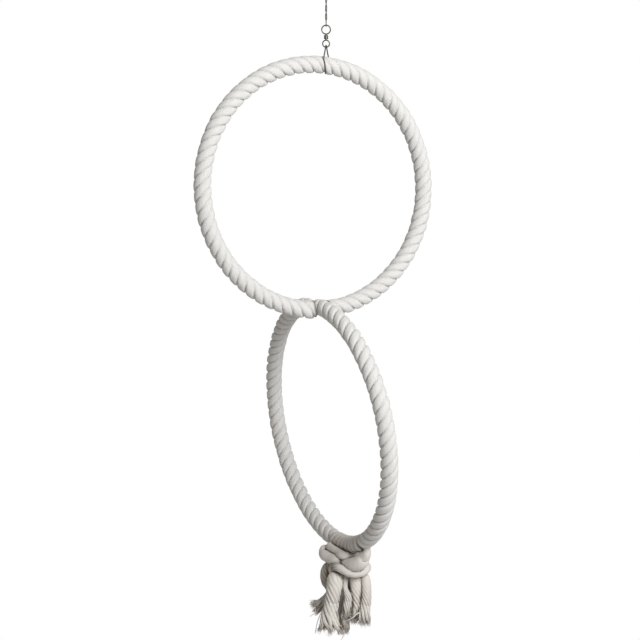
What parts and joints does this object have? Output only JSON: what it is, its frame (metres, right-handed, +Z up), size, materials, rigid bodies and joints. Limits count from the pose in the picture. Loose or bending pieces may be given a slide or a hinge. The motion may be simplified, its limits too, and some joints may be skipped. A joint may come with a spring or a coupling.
{
  "type": "double rope ring bird toy",
  "caption": "Hanging bird toy: a cotton rope ring on a wire swivel, with a second rope ring crossed through its bottom and a knotted, frayed tassel below.",
  "frame": {"origin": "inside top of the hanger's loop, where a hook carries the toy", "axes": "+Z up, +X to the right along the upper ring, +Y to the back"},
  "size_m": [0.3036, 0.3097, 0.761],
  "materials": {
    "cotton_rope": "undyed laid cotton rope",
    "cotton_strand": "unlaid cotton strand",
    "bright_steel": "bright drawn wire",
    "dark_wire": "dark drawn wire",
    "hoop_steel": "spring steel wire"
  },
  "bodies": {
    "hanger": {"hanger_wire": "dark_wire"},
    "upper_swivel": {"swivel_upper_eye": "bright_steel", "swivel_barrel": "bright_steel"},
    "lower_swivel": {"swivel_lower_eye": "bright_steel"},
    "upper_ring": {"sling_wire": "bright_steel", "upper_rope": "cotton_rope", "upper_hoop": "hoop_steel", "upper_hoop_sleeve": "hoop_steel"},
    "lower_ring": {"lower_rope": "cotton_rope", "lower_hoop": "hoop_steel", "lower_hoop_sleeve": "hoop_steel"},
    "tassel": {"tassel_strand_1": "cotton_strand", "tassel_strand_2": "cotton_strand", "tassel_strand_3": "cotton_strand"}
  },
  "joints": [
    {"name": "hanger_swing", "type": "hinge", "parent": "hanger", "child": "upper_swivel", "pos_m": [0, 0, -0.04205], "axis": [0.4305, 0.9026, 0], "range_deg": [-60, 60]},
    {"name": "swivel_turn", "type": "hinge", "parent": "upper_swivel", "child": "lower_swivel", "pos_m": [0, 0, -0.05405], "axis": [0, 0, 1], "continuous": true},
    {"name": "sling_swing", "type": "hinge", "parent": "lower_swivel", "child": "upper_ring", "pos_m": [0, 0, -0.06555], "axis": [0.9026, -0.4305, 0], "range_deg": [-40, 40]},
    {"name": "ring_rock", "type": "hinge", "parent": "upper_ring", "child": "lower_ring", "pos_m": [-0.01366, -0.01185, -0.36622], "axis": [-0.0393, 0.9955, 0.0858], "range_deg": [-10, 20]},
    {"name": "tassel_rock", "type": "hinge", "parent": "lower_ring", "child": "tassel", "pos_m": [0.0198, -0.02693, -0.64867], "axis": [-0.0056, 0.98, -0.1988], "range_deg": [-12, 12]}
  ]
}
